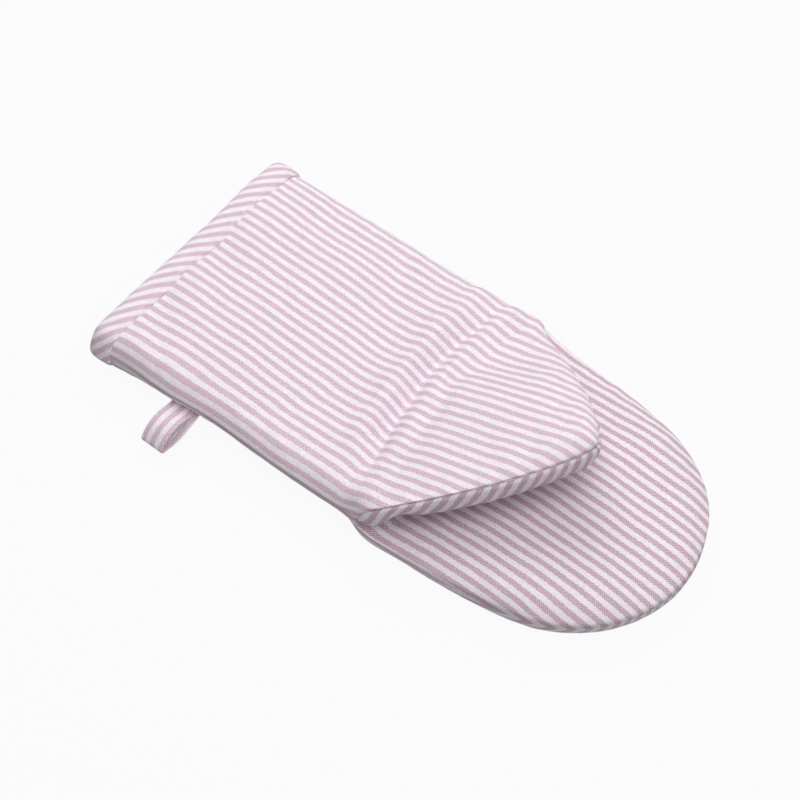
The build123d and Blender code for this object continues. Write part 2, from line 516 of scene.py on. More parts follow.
def thumb_edges():
    """Long edges and tip of the thumb pocket in plan, near and far."""
    side, tip = split_path(thumb_rim(), thumb_corner_share)
    near_side, near_tip = (from_fold(part[:, 0], -part[:, 1]) for part in (side, tip))
    far_side, far_tip = (from_fold(part[:, 0], part[:, 1]) for part in (side, tip))
    return near_side, far_side, out_and_back(near_tip, far_tip)


def fold_columns():
    """Shares across the fold line, the same for every panel that meets there."""
    return shares_along(2 * thumb_half_width, fine_start=True, fine_end=True)


def top_patch(start_x, depth):
    """Grid over the top panel, from the cuff along the wrist and on to the thumb tip."""
    near_side, far_side, tip = thumb_edges()
    wrist_near = np.array([[start_x, -half_width], near_side[0]])
    wrist_far = np.array([[start_x, half_width], far_side[0]])
    crease_share = crease_reach / path_length(wrist_near)
    before_crease = shares_along(path_length(wrist_near) - crease_reach) * (1 - crease_share)
    in_crease = blended(1 - crease_share, 1.0, shares_along(crease_reach, step=crease_step))
    wrist_u = np.concatenate([before_crease, in_crease[1:]])
    thumb_u = shares_along(path_length(near_side), fine_end=True)
    near = np.concatenate([resample(wrist_near, wrist_u), resample(near_side, thumb_u)[1:]])
    far = np.concatenate([resample(wrist_far, wrist_u), resample(far_side, thumb_u)[1:]])
    wrist_share = path_length(wrist_near) / (path_length(wrist_near) + path_length(near_side))
    u = np.concatenate([wrist_u * wrist_share, blended(wrist_share, 1.0, thumb_u[1:])])
    v = fold_columns()
    start = resample(np.array([wrist_near[0], wrist_far[0]]), v)
    grid = fill_patch(near, far, start, resample(tip, v), u)
    rim = np.concatenate([wrist_near[:1], near_side, tip[1:-1], far_side[::-1], wrist_far[:1]])
    return Patch(grid, rim, depth)


def under_thumb_patch(depth):
    """Grid over the thumb half of the grip panel, from the fold to the thumb tip."""
    near_side, far_side, tip = thumb_edges()
    u = shares_along(path_length(near_side), fine_end=True)
    v = fold_columns()
    start = resample(np.array([near_side[0], far_side[0]]), v)
    grid = fill_patch(resample(near_side, u), resample(far_side, u), start, resample(tip, v), u)
    return Patch(grid, np.concatenate([near_side, tip[1:-1], far_side[::-1]]), depth)


def far_droop(along, across):
    """How far the thumb pocket leans down towards its far edge."""
    lean = np.maximum(across - droop_from, 0.0) ** droop_bow * droop_slope
    return lean * ease(*droop_grows, along)


def thumb_seam(patch):
    """Height of the seam round the thumb pocket, rising from the side seam over the shoulder.

    The layers inside meet half way down the pocket's edge.
    """
    line = thumb_top_z - thumb_seam_drop + thumb_slope * patch.along - far_droop(patch.along, patch.across)
    line = line - thumb_tip_drop * np.clip(patch.along / thumb_length, 0, 1) ** 2
    line = line - thumb_far_drop * patch.far_side
    seam = blended(patch.side_seam, line, quarter_round(np.maximum(patch.along, 0) / thumb_shoulder))
    inside = np.clip(patch.depth / pad_depth, 0.0, 1.0)
    return seam - thumb_edge_half * inside * patch.on_thumb * (1 - thumb_far_thinning * patch.far_side)


def top_level(patch):
    """Height of the top panel away from its seams: wrist, ridge, valley and the rising thumb pocket."""
    along, across = patch.along, patch.across
    wrist = wrist_z + cuff_rise * (1 - ease(*cuff_rise_ends, patch.x))
    wrist = wrist - far_wrist_fall * np.maximum(patch.y - far_wrist_from, 0.0)
    thumb = thumb_top_z + thumb_slope * along - far_droop(along, across)
    level = crease_softness * np.logaddexp(wrist / crease_softness, thumb / crease_softness)
    for place, reach, height in swells:
        level = level + mound(patch.x, patch.y, place, reach, height)
    valley = valley_at + valley_tilt * across + valley_bow * across**2
    past = along - valley - valley_wander * uneven(across / valley_wander_size, 0.0, wander_seed)
    past = past * (1 + wave_drift * uneven(across / wave_drift_size, 0.0, drift_seed))
    waves = np.interp(past, *zip(*crease_waves))
    wrinkles = wrinkle_height * uneven(past / wrinkle_pitch, across / wrinkle_length, wrinkle_seed)
    waves = waves + wrinkles * bump(past, wrinkle_middle, wrinkle_spread)
    near_strength = blended(crease_near_share, 1.0, ease(*crease_near_grows, across))
    return level + waves * (near_strength * (1 - crease_far_loss * ease(*crease_far_fades, across)))


def under_level(along, across):
    """Height of the thumb pocket's underside away from its seams."""
    return crotch.z + under_thumb_rise + thumb_slope * along - far_droop(along, across)


def grid_normals(points):
    """Unit normals of a grid, along its rows times its columns."""
    normal = np.cross(np.gradient(points, axis=0), np.gradient(points, axis=1))
    return normal / np.maximum(np.linalg.norm(normal, axis=-1, keepdims=True), 1e-9)


def lie(points):
    """Points shifted in plan to how this mitt lies."""
    moved = points.copy()
    for place, reach, shift in pulls:
        moved[..., :2] += mound(points[..., 0], points[..., 1], place, reach)[..., None] * np.array(shift)
    return moved


def dress(points, patch, facing, seed, folds=1.0):
    """Outer face of a panel with its seams drawn in, puckers beside them and a slow unevenness over all."""
    inset = patch.inset
    pucker = uneven(patch.run / pucker_pitch, inset / pucker_length, seed)
    pucker = pucker * pucker_height * folds * ease(*pucker_starts, inset) * (1 - ease(*pucker_fades, inset))
    slow = uneven(patch.x / uneven_size, patch.y / uneven_size, seed + 0.5)
    slow = slow * uneven_height * ease(*uneven_starts, inset)
    points = points + grid_normals(points) * (facing * (pucker + slow))[..., None]
    near_thumb = patch.on_thumb * (1 - patch.far_side)
    pull = seam_groove * (1 + thumb_groove * near_thumb) * (1 - ease(0.0, groove_reach, inset))
    upward = groove_upward * near_thumb
    points[..., :2] -= patch.normal * (pull * (1 - upward))[..., None]
    points[..., 2] -= pull * upward
    return points


def cloth_place(place, on_thumb):
    """Place on the flat cloth, whose stripes turn a little with the thumb pocket at the fold."""
    across = to_fold(place[..., 0], place[..., 1])[1]
    return np.stack([place[..., 0], blended(place[..., 1], across, on_thumb * stripe_turn)], axis=-1)


def let_out(patch, drop, rounding):
    """Plan of each point let out by the cloth that its rounding towards the seam takes up."""
    steepness = drop / (np.abs(drop) + rounding)
    return patch.plan + patch.normal * (steepness * drop * rounding_cloth)[..., None]


def under_binding(x):
    """How far the panels are pressed in under the cuff binding."""
    return binding_tuck * (1 - ease(*binding_tuck_ends, x - (cuff_x + binding_width)))


def top_sheet(depth, start_x):
    """Top layer at a depth: points in space, places on the cloth, and distances from what holds them."""
    patch = top_patch(start_x, depth)
    level = top_level(patch) - depth
    seam = thumb_seam(patch)
    share = patch.inset / (thumb_round - depth)
    over_edge = blended(soft_round(share), quarter_round(share), patch.far_side)
    rise = side_rise(patch.inset, wrist_round - depth, near_slope - depth, patch.near_wrist)
    rise = blended(rise, over_edge, patch.on_thumb)
    height = blended(seam, level, rise)
    points = np.dstack([patch.x, patch.y, height])
    if depth == 0:
        points = dress(points, patch, facing=1.0, seed=1.0)
    points[..., 2] -= under_binding(patch.x)
    turned = ease(*stripe_turn_grows, patch.along)
    rounding = blended(wrist_round, near_slope, patch.near_wrist)
    place = cloth_place(let_out(patch, level - height, rounding), turned)
    return lie(points), place, np.minimum(patch.inset, patch.x - start_x)


def bottom_sheet(depth, start_x):
    """Lower layer at a depth, flat where it lies."""
    patch = rounded_patch(start_x, start_x, depth, bottom_mesh_step)
    rise = side_rise(patch.inset, bottom_round - depth, near_under - depth, patch.near_wrist)
    height = blended(patch.side_seam, depth, rise)
    points = np.dstack([patch.x, patch.y, height])
    if depth == 0:
        points = dress(points, patch, facing=-1.0, seed=2.0)
        points[..., 2] = np.maximum(points[..., 2], 0.0)
    points[..., 2] += under_binding(patch.x)
    place = let_out(patch, height - depth, bottom_round) + np.array([0.0, bottom_shift])
    return lie(points), place, np.minimum(patch.inset, patch.x - start_x)


def fold_line(patch):
    """Height of the crotch fold, dipping to the side seam at both ends."""
    from_end = thumb_half_width - patch.depth - np.abs(patch.across)
    return blended(patch.side_seam, crotch.z, quarter_round(from_end / finger_round))


def join_at_fold(height, patch):
    """Brings a half of the grip layer to the fold line, away from its side seams."""
    share = (1 - ease(0.0, fold_join_reach, patch.along)) * ease(0.0, fold_side_reach, patch.inset)
    return blended(height, fold_line(patch), share)


def round_the_fold(points, patch, rise):
    """Carries an inner layer of the grip round the back of the crotch fold, its depth off the outer face."""
    turn = math.pi / 2 * ease(0.0, fold_turn_reach, patch.along)
    points[..., :2] -= (patch.depth * np.cos(turn))[..., None] * fold_along
    points[..., 2] += patch.depth * np.sin(turn) * rise
    return points


def finger_sheet(depth):
    """Finger half of a grip layer at a depth."""
    near_side, far_side, _ = thumb_edges()
    patch = rounded_patch(near_side[0, 0], far_side[0, 0], depth)
    swell = ease(0.0, finger_swell, patch.along)
    fall = ease(finger_fall_from, tip_x, patch.x)
    level = blended(finger_hollow_z, finger_z, swell) - (finger_z - fingertip_z) * fall
    rise = quarter_round(patch.inset / (finger_round - depth))
    height = join_at_fold(blended(patch.side_seam, level, rise), patch)
    points = np.dstack([patch.x, patch.y, height])
    if depth == 0:
        points = dress(points, patch, facing=1.0, seed=3.0)
    points = round_the_fold(points, patch, -rise)
    place = let_out(patch, level - height, finger_round)
    return lie(points), place, np.minimum(patch.inset, patch.along)


def roll_section():
    """Rolled edge from the seam to its lowest line: arc length, outward offset and drop."""
    angle = np.linspace(roll_start, -math.pi / 2, roll_points)
    out = roll_out * (np.cos(angle) - math.cos(roll_start))
    drop = roll_down * (math.sin(roll_start) - np.sin(angle))
    return lengths_along(np.stack([out, drop], -1)), out, drop


def under_thumb_sheet():
    """Outer face of the grip's thumb half, rolling outward below the seam and then under."""
    patch = under_thumb_patch(0.0)
    arc, out, drop = roll_section()
    grown = np.maximum(ease(0.0, roll_grow, patch.along), roll_least)
    outward = grown * (1 - roll_far_narrowing * patch.far_side)
    # The roll takes more cloth than it covers in plan, so the rows are dealt out along its arc
    share = patch.inset / roll_rows
    arc_at = np.minimum(share, 1.0) * arc[-1]
    moved = np.interp(arc_at, arc, out)
    moved = np.where(moved > 0, moved * outward, moved * grown)
    fallen = np.interp(arc_at, arc, drop) * grown * (1 - roll_far_shortening * patch.far_side)
    covered = -out[-1] * grown
    settle = ease(0.0, roll_settle, np.maximum(patch.inset - roll_rows, 0.0))
    shift = np.where(share < 1, moved + patch.inset, (roll_rows - covered) * (1 - settle))
    plan = patch.plan + patch.normal * shift[..., None]
    under = under_level(*to_fold(plan[..., 0], plan[..., 1]))
    height = join_at_fold(blended(thumb_seam(patch) - fallen, under, settle), patch)
    points = np.dstack([plan[..., 0], plan[..., 1], height])
    points = dress(points, patch, facing=-1.0, seed=4.0, folds=roll_puckers)
    maps = []
    for grain in (1.0, roll_grain):
        in_roll = patch.foot + patch.normal * ((arc[-1] - arc_at) * grain - covered)[..., None]
        maps.append(cloth_place(np.where((share < 1)[..., None], in_roll, plan), 1.0))
    return lie(points), np.concatenate(maps, axis=-1), np.minimum(patch.inset, patch.along)


def thumb_inside_sheet(depth):
    """Inner face of the grip's thumb half at a depth, without the outer face's roll."""
    patch = under_thumb_patch(depth)
    settle = ease(0.0, roll_settle + roll_rows, patch.inset)
    under = under_level(patch.along, patch.across)
    height = join_at_fold(blended(thumb_seam(patch), under, settle), patch)
    points = round_the_fold(np.dstack([patch.x, patch.y, height]), patch, settle)
    return lie(points), cloth_place(patch.plan, 1.0), np.minimum(patch.inset, patch.along)


def grip_sheet(depth, _start_x):
    """Grip layer as one grid, from the fingertips back to the fold and out again to the thumb tip.

    It doesn't reach the cuff, so it has no use for the start that the other layers are given.
    """
    finger = finger_sheet(depth)
    thumb = thumb_inside_sheet(depth) if depth else under_thumb_sheet()
    points, places, loose = zip(finger, thumb)
    halves = points, tuple(two_maps(place) for place in places), loose
    return tuple(np.concatenate([a[::-1], b[1:]]) for a, b in halves)


def only(piece):
    """Selects one piece alone and makes it active."""
    bpy.ops.object.select_all(action="DESELECT")
    piece.select_set(True)
    bpy.context.view_layer.objects.active = piece


def in_edit_mode(piece, *operators):
    """Runs edit-mode operators, each with its settings, on the whole of a piece."""
    only(piece)
    bpy.ops.object.mode_set(mode="EDIT")
    bpy.ops.mesh.select_all(action="SELECT")
    for operator, settings in operators:
        operator(**settings)
    bpy.ops.object.mode_set(mode="OBJECT")


def apply_modifier(piece, kind, **settings):
    """Adds a modifier with its settings and applies it."""
    only(piece)
    modifier = piece.modifiers.new(kind.lower(), kind)
    for key, value in settings.items():
        setattr(modifier, key, value)
    bpy.ops.object.modifier_apply(modifier=modifier.name)


def grid_faces(rows, columns, first=0):
    """Quads of a grid of points numbered row by row."""
    faces = []
    for i in range(rows - 1):
        for j in range(columns - 1):
            a = first + i * columns + j
            faces.append((a, a + columns, a + columns + 1, a + 1))
    return faces


def grid_border(rows, columns):
    """Numbers of the points round a grid's border, in order."""
    top = list(range(columns))
    right = [i * columns + columns - 1 for i in range(1, rows)]
    bottom = [(rows - 1) * columns + j for j in range(columns - 2, -1, -1)]
    left = [i * columns for i in range(rows - 2, 0, -1)]
    return top + right + bottom + left


def add_mesh(name, points, faces, places=None):
    """New piece from points and faces, with the places of its points on the cloth and in its stripes."""
    mesh = bpy.data.meshes.new(name)
    mesh.from_pydata((np.asarray(points).reshape(-1, 3) * MM).tolist(), [], faces)
    if places is not None:
        corners = np.array([loop.vertex_index for loop in mesh.loops])
        at = (places * MM)[corners]
        for layer, part in (("cloth", at[:, :2]), ("stripes", at[:, 2:])):
            mesh.uv_layers.new(name=layer).data.foreach_set("uv", part.ravel())
    piece = bpy.data.objects.new(name, mesh)
    bpy.context.scene.collection.objects.link(piece)
    return piece


def two_maps(places):
    """Places on the cloth twice over, for the yarns and for the stripes, unless both are given."""
    return places if places.shape[-1] == 4 else np.concatenate([places, places], axis=-1)


def walled(name, outer, inner, levels):
    """Closed piece between two grids of the same layout, welded, turned outwards and smoothed."""
    rows, columns = outer[0].shape[:2]
    count = rows * columns
    border = grid_border(rows, columns)
    faces = grid_faces(rows, columns)
    faces += [quad[::-1] for quad in grid_faces(rows, columns, first=count)]
    for a, b in zip(border, border[1:] + border[:1]):
        faces.append((a, b, b + count, a + count))
    points = np.concatenate([outer[0].reshape(-1, 3), inner[0].reshape(-1, 3)])
    places = np.concatenate([two_maps(sheet[1]).reshape(-1, 4) for sheet in (outer, inner)])
    piece = add_mesh(name, points, faces, places)
    weld = (bpy.ops.mesh.remove_doubles, {"threshold": weld_gap * MM})
    in_edit_mode(piece, weld, (bpy.ops.mesh.normals_make_consistent, {"inside": False}))
    if levels:
        apply_modifier(piece, "SUBSURF", levels=levels, render_levels=levels)
    only(piece)
    bpy.ops.object.shade_smooth()
    return piece


def fill_out(sheet, facing):
    """Lets a padded panel fill out in a cloth simulation, with its seams held and its moves capped."""
    points, places, loose = sheet
    rows, columns = points.shape[:2]
    faces = [quad[::facing] for quad in grid_faces(rows, columns)]
    piece = add_mesh("loose_panel", points, faces)
    sewn = piece.vertex_groups.new(name="sewn")
    for index, held in enumerate(1 - ease(*filling_free, loose.ravel())):
        sewn.add([index], float(held), "REPLACE")
    cloth = piece.modifiers.new("filling", "CLOTH")
    cloth.settings.quality = filling_quality
    cloth.settings.vertex_group_mass = sewn.name
    cloth.settings.use_pressure = True
    cloth.settings.uniform_pressure_force = filling_pressure
    cloth.settings.shrink_min = -filling_slack
    cloth.settings.effector_weights.gravity = 0.0
    scene = bpy.context.scene
    for step in range(1, filling_steps + 1):
        scene.frame_set(step)
    filled = piece.evaluated_get(bpy.context.evaluated_depsgraph_get()).data
    after = np.array([vertex.co for vertex in filled.vertices]).reshape(points.shape) / MM
    moved = after - points
    far = np.linalg.norm(moved, axis=-1, keepdims=True)
    scene.frame_set(1)
    bpy.data.objects.remove(piece)
    filled_points = points + moved * filling_cap / (filling_cap + far)
    filled_points[..., 2] = np.maximum(filled_points[..., 2], 0.0)
    return filled_points, places, loose


def finish_piece(piece, material, slot, *nodes):
    """Dresses a piece in its material and hides the nodes that it stands for; the slot is not used."""
    piece.data.materials.clear()
    piece.data.materials.append(material)
    if nodes:
        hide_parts(*nodes)


def padded_panel(name, sheet, facing, cloth, *nodes):
    """Outer cloth with its wadding, puffed up between its seams."""
    outer = fill_out(sheet(0.0, panel_start), facing)
    piece = walled(name, outer, sheet(pad_depth, panel_start), levels=1)
    finish_piece(piece, cloth, "striped_cloth", *nodes)
    return piece


def lining(name, sheet, cloth, *nodes):
    """Thin lining on the hand's side of a panel's wadding."""
    outer, inner = (sheet(depth, lining_start) for depth in (lining_depth, lining_inner_depth))
    piece = walled(name, outer, inner, levels=0)
    finish_piece(piece, cloth, "lining", *nodes)
    return piece


def bend_at_crease(piece):
    """Bakes a top layer's transform into its mesh, without bending it."""
    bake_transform(piece)


def bend_at_fold(piece):
    """Bakes a grip layer's transform into its mesh, without bending it."""
    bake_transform(piece)


def panels(cloth, grip_cloth):
    """The three quilted panels: top with the thumb's back, bottom, and the grip folded at the crotch."""
    parts = [part + layer for part in ("wrist_", "crease_", "thumb_") for layer in ("cloth", "wadding")]
    bend_at_crease(padded_panel("top_panel", top_sheet, 1, cloth, *parts))
    bottom = padded_panel("bottom_panel", bottom_sheet, -1, cloth, "finger_back_cloth", "finger_back_wadding")
    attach(bottom, "mitt")
    parts = [part + layer for part in ("grip_finger_", "grip_thumb_") for layer in ("cloth", "wadding")]
    bend_at_fold(padded_panel("grip_panel", grip_sheet, -1, grip_cloth, *parts))


def linings(cloth):
    """Lower lining on the mitt, and the upper and grip linings."""
    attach(lining("lower_lining", bottom_sheet, cloth, "finger_back_lining"), "mitt")
    bend_at_crease(lining("upper_lining", top_sheet, cloth, "wrist_lining", "crease_lining", "thumb_lining"))
    bend_at_fold(lining("grip_lining", grip_sheet, cloth, "grip_finger_lining", "grip_thumb_lining"))


def cuff_loop():
    """Closed path round the cuff's outside in Y and Z, with its outward normals."""
    y = half_width * np.sin(np.linspace(-math.pi / 2, math.pi / 2, cuff_points))
    inset = half_width - np.abs(y)
    near = near_at_cuff * (1 - ease(*near_to_far, y))
    seam = seam_z + near_lift * near
    top = blended(seam, wrist_z + cuff_rise, side_rise(inset, wrist_round, near_slope, near))
    low = blended(seam, 0.0, side_rise(inset, bottom_round, near_under, near))
    path = out_and_back(np.stack([y, top], -1), np.stack([y, low], -1))
    count = int(path_length(path) / binding_step)
    ring = resample(path, np.arange(count + 1) / count)
    ahead = np.roll(ring[:-1], -1, axis=0) - np.roll(ring[:-1], 1, axis=0)
    normal = np.stack([-ahead[:, 1], ahead[:, 0]], -1)
    normal /= np.linalg.norm(normal, axis=1)[:, None]
    return ring, np.concatenate([normal, normal[:1]]), path_length(path)


def binding_sheet(depth):
    """Face of the binding strip at a depth below its outside, wrapped over the cuff's edge."""
    ring, normal, length = cuff_loop()
    section = resample(np.array(binding_section), np.linspace(0, 1, binding_rows))
    section = smoothed(section, binding_softening)
    across = lengths_along(section)
    run = np.linspace(0, length, len(ring))
    around = run / length * 2 * math.pi
    turn_y, turn_z = np.cos(around) * binding_puckers_round, np.sin(around) * binding_puckers_round
    pucker = uneven(turn_y[:, None], turn_z[:, None], across[None] / binding_pucker_size)
    pucker = pucker * binding_pucker_height * ease(*binding_pucker_starts, across)[None]
    section = section[None] - left_side(section)[None] * (pucker - depth)[..., None]
    points = np.empty(section.shape[:2] + (3,))
    points[..., 0] = cuff_x + section[..., 0]
    points[..., 1:] = ring[:, None] + normal[:, None] * section[..., 1:]
    points[..., 2] = np.maximum(points[..., 2], depth - binding_sag)
    places = np.stack(np.broadcast_arrays(-across[None], run[:, None]), -1)
    return lie(points), places


def cuff_binding(cloth):
    """Bias strip folded over the raw edge of the cuff, plump on the outside and tucked in at its seam."""
    outer, inner = binding_sheet(0.0), binding_sheet(binding_thickness)
    piece = walled("folded_binding", outer, inner, levels=1)
    finish_piece(piece, cloth, "bias_binding", "cuff_binding")
    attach(piece, "mitt")


def loop_root():
    """Middle of the loop's root in the side seam, its outward direction and its upper side."""
    out = np.array([0.0, -math.cos(loop_droop), -math.sin(loop_droop)])
    up = np.array([0.0, -math.sin(loop_droop), math.cos(loop_droop)])
    return np.array([loop_x, -half_width - loop_root_gap, seam_z]), out, up


def loop_sheet(depth):
    """Face of the loop's tape at a depth below its outside, doubled back round a lens-shaped eye."""
    path = resample(np.array(loop_side_view), np.linspace(0, 1, loop_rows))
    path = smoothed(path, loop_softening)
    along = lengths_along(path)
    path = path - left_side(path) * depth
    root, out, up = loop_root()
    across = np.linspace(-loop_width / 2, loop_width / 2, loop_columns)
    line = root + path[:, :1] * out + path[:, 1:] * up
    line[:, 0] += loop_skew * ease(*loop_skew_shares, along / along[-1])
    points = line[:, None, :] + across[None, :, None] * np.array([1.0, 0.0, 0.0])
    return points, np.stack(np.broadcast_arrays(along[:, None], across[None]), -1)


def bend_at_root(piece):
    """Bakes a piece of the loop's transform into its mesh, without bending it."""
    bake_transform(piece)


def tape_loop(cloth):
    """Hanging loop of folded tape."""
    outer, inner = loop_sheet(0.0), loop_sheet(loop_tape)
    piece = walled("tape_loop", outer, inner, levels=1)
    finish_piece(piece, cloth, "loop_tape", "hanging_loop")
    bend_at_root(piece)


def bowed_thread(line, lift):
    """Points of one stitch: a thread that bows up off the cloth, thins and dips into it at both ends."""
    arch = np.linspace(-1, 1, stitch_bends)
    around = np.linspace(0, 2 * math.pi, stitch_sides + 1)[:-1]
    lift = lift / np.linalg.norm(lift, axis=1)[:, None]
    beside = np.cross(np.gradient(line, axis=0), lift)
    beside /= np.linalg.norm(beside, axis=1)[:, None]
    line = line + lift * (stitch_rise * (1 - arch**2) - stitch_sink * arch**4)[:, None]
    thick = stitch_thread / 2 * (1 - stitch_taper * arch**4)[:, None, None]
    ring = beside[:, None] * np.cos(around)[None, :, None] + lift[:, None] * np.sin(around)[None, :, None]
    return line[:, None] + ring * thick


def thread_faces(first):
    """Faces of one stitch whose points are numbered from a first one: its sides, then its two ends."""
    rings = [[first + bend * stitch_sides + k for k in range(stitch_sides)] for bend in range(stitch_bends)]
    faces = []
    for low, high in zip(rings, rings[1:]):
        faces += zip(low, low[1:] + low[:1], high[1:] + high[:1], high)
    return faces + [tuple(rings[0][::-1]), tuple(rings[-1])]


def stitch_row(name, centres, outward, material, slot):
    """Row of machine stitches along a path, each a short bowed thread."""
    run = lengths_along(centres)
    pitch = stitch_length + stitch_gap
    points, faces = [], []
    for k in range(int(run[-1] / pitch)):
        at = (k + 0.5) * pitch + np.linspace(-1, 1, stitch_bends) * stitch_length / 2
        points.append(bowed_thread(read_along(centres, run, at), read_along(outward, run, at)))
        faces += thread_faces(k * stitch_bends * stitch_sides)
    piece = add_mesh(name, np.array(points), faces)
    in_edit_mode(piece, (bpy.ops.mesh.normals_make_consistent, {"inside": False}))
    bpy.ops.object.shade_smooth()
    finish_piece(piece, material, slot)
    return piece


def stitching(thread):
    """Stitches that hold down the binding's outer edge and close both edges of the tape loop."""
    points, _ = binding_sheet(0.0)
    normals = -grid_normals(points)
    row = binding_stitch_row
    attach(stitch_row("binding_stitching", points[:, row], normals[:, row], thread, "bias_binding"), "mitt")
    points, _ = loop_sheet(0.0)
    normals = grid_normals(points)
    rows = loop_stitch_rows
    for side, column in (("outer", 1), ("inner", -2)):
        name = "loop_stitching_" + side
        bend_at_root(stitch_row(name, points[rows, column], normals[rows, column], thread, "loop_tape"))


def link_nodes(tree, *pairs):
    """Links pairs of sockets, each from its source to its target."""
    for source, target in pairs:
        tree.links.new(source, target)


def feed(tree, socket, value):
    """Links a socket to a socket, or sets it to a plain value."""
    if isinstance(value, bpy.types.NodeSocket):
        tree.links.new(value, socket)
    elif value is not None:
        socket.default_value = value


def math_node(tree, operation, a, b=None):
    """Math node fed by sockets or plain numbers."""
    node = tree.nodes.new("ShaderNodeMath")
    node.operation = operation
    feed(tree, node.inputs[0], a)
    feed(tree, node.inputs[1], b)
    return node.outputs[0]


def ramp(tree, value, low, high, to_low=0.0, to_high=1.0):
    """Smooth passage of a value from one range to another."""
    node = tree.nodes.new("ShaderNodeMapRange")
    node.interpolation_type = "SMOOTHSTEP"
    for name, number in (("From Min", low), ("From Max", high), ("To Min", to_low), ("To Max", to_high)):
        node.inputs[name].default_value = number
    tree.links.new(value, node.inputs["Value"])
    return node.outputs[0]


def mix_colours(tree, share, a, b, kind="MIX"):
    """Colour between two colours, or one laid over the other."""
    node = tree.nodes.new("ShaderNodeMix")
    node.data_type = "RGBA"
    node.blend_type = kind
    feed(tree, node.inputs["Factor"], share)
    feed(tree, node.inputs["A"], a if isinstance(a, bpy.types.NodeSocket) else (*a, 1.0))
    feed(tree, node.inputs["B"], b if isinstance(b, bpy.types.NodeSocket) else (*b, 1.0))
    return node.outputs["Result"]


def cloud(tree, vector, scale, detail, stretch):
    """Noise over the cloth, drawn out along one of its directions."""
    drawn = tree.nodes.new("ShaderNodeMapping")
    drawn.inputs["Scale"].default_value = stretch
    texture = tree.nodes.new("ShaderNodeTexNoise")
    texture.inputs["Scale"].default_value = scale
    texture.inputs["Detail"].default_value = detail
    link_nodes(tree, (vector, drawn.inputs["Vector"]), (drawn.outputs[0], texture.inputs["Vector"]))
    return texture.outputs["Fac"]


def new_material(name):
    """New material with its node tree and its shader."""
    material = bpy.data.materials.new(name)
    material.use_nodes = True
    tree = material.node_tree
    return material, tree, tree.nodes["Principled BSDF"]


def plain_weave():
    """Node group of a plain weave: which yarn lies on top, how the yarns round, and how uneven they are."""
    group = bpy.data.node_groups.new("plain_weave", "ShaderNodeTree")
    group.interface.new_socket("Cloth", in_out="INPUT", socket_type="NodeSocketVector")
    group.interface.new_socket("Yarn", in_out="INPUT", socket_type="NodeSocketFloat")
    for name in ("Long yarn on top", "Height", "Slub", "Fading", "Speckle", "Waver"):
        group.interface.new_socket(name, in_out="OUTPUT", socket_type="NodeSocketFloat")
    start = group.nodes.new("NodeGroupInput")
    end = group.nodes.new("NodeGroupOutput")
    split = group.nodes.new("ShaderNodeSeparateXYZ")
    group.links.new(start.outputs["Cloth"], split.inputs[0])
    rounds, numbers = [], []
    for axis in (0, 1):
        place = math_node(group, "DIVIDE", split.outputs[axis], start.outputs["Yarn"])
        numbers.append(math_node(group, "FLOOR", place))
        half_turn = math_node(group, "MULTIPLY", math_node(group, "FRACT", place), math.pi)
        rounds.append(math_node(group, "SINE", half_turn))
    crossing = math_node(group, "ADD", *numbers)
    on_top = math_node(group, "FLOORED_MODULO", crossing, 2.0)
    lengthwise = math_node(group, "MULTIPLY", rounds[1], on_top)
    crosswise = math_node(group, "MULTIPLY", rounds[0], math_node(group, "SUBTRACT", 1.0, on_top))
    height = math_node(group, "ADD", lengthwise, crosswise)
    slub = cloud(group, start.outputs["Cloth"], scale=900.0, detail=1.0, stretch=(0.12, 1.0, 1.0))
    fading = cloud(group, start.outputs["Cloth"], scale=200.0, detail=2.0, stretch=(0.6, 1.0, 1.0))
    waver = cloud(group, start.outputs["Cloth"], scale=28.0, detail=1.0, stretch=(1.0, 1.0, 1.0))
    place = group.nodes.new("ShaderNodeCombineXYZ")
    speckle = group.nodes.new("ShaderNodeTexWhiteNoise")
    speckle.noise_dimensions = "2D"
    link_nodes(
        group,
        (numbers[0], place.inputs[0]),
        (numbers[1], place.inputs[1]),
        (place.outputs[0], speckle.inputs["Vector"]),
        (speckle.outputs["Value"], end.inputs["Speckle"]),
        (on_top, end.inputs["Long yarn on top"]),
        (height, end.inputs["Height"]),
        (slub, end.inputs["Slub"]),
        (fading, end.inputs["Fading"]),
        (waver, end.inputs["Waver"]),
    )
    return group


def cloth_map(tree, name, turn, shift):
    """Place on one of a piece's own cloth maps, turned and shifted."""
    place = tree.nodes.new("ShaderNodeUVMap")
    place.uv_map = name
    turned = tree.nodes.new("ShaderNodeMapping")
    turned.inputs["Rotation"].default_value[2] = turn
    turned.inputs["Location"].default_value[1] = shift * MM
    tree.links.new(place.outputs[0], turned.inputs["Vector"])
    return turned.outputs[0]


def cloth_material(name, weave, turn=0.0, shift=0.0):
    """Matt cotton with the weave laid on its own cloth map: the material and its weave."""
    material, tree, shader = new_material(name)
    shader.inputs["Roughness"].default_value = 0.92
    shader.inputs["Specular IOR Level"].default_value = 0.25
    shader.inputs["Sheen Weight"].default_value = 0.18
    shader.inputs["Sheen Roughness"].default_value = 0.6
    place = cloth_map(tree, "cloth", turn, shift)
    yarns = tree.nodes.new("ShaderNodeGroup")
    yarns.node_tree = weave
    yarns.inputs["Yarn"].default_value = yarn * MM
    relief = tree.nodes.new("ShaderNodeBump")
    relief.inputs["Strength"].default_value = 0.6
    relief.inputs["Distance"].default_value = yarn_relief * MM
    link_nodes(
        tree,
        (place, yarns.inputs["Cloth"]),
        (yarns.outputs["Height"], relief.inputs["Height"]),
        (relief.outputs[0], shader.inputs["Normal"]),
    )
    return material, yarns


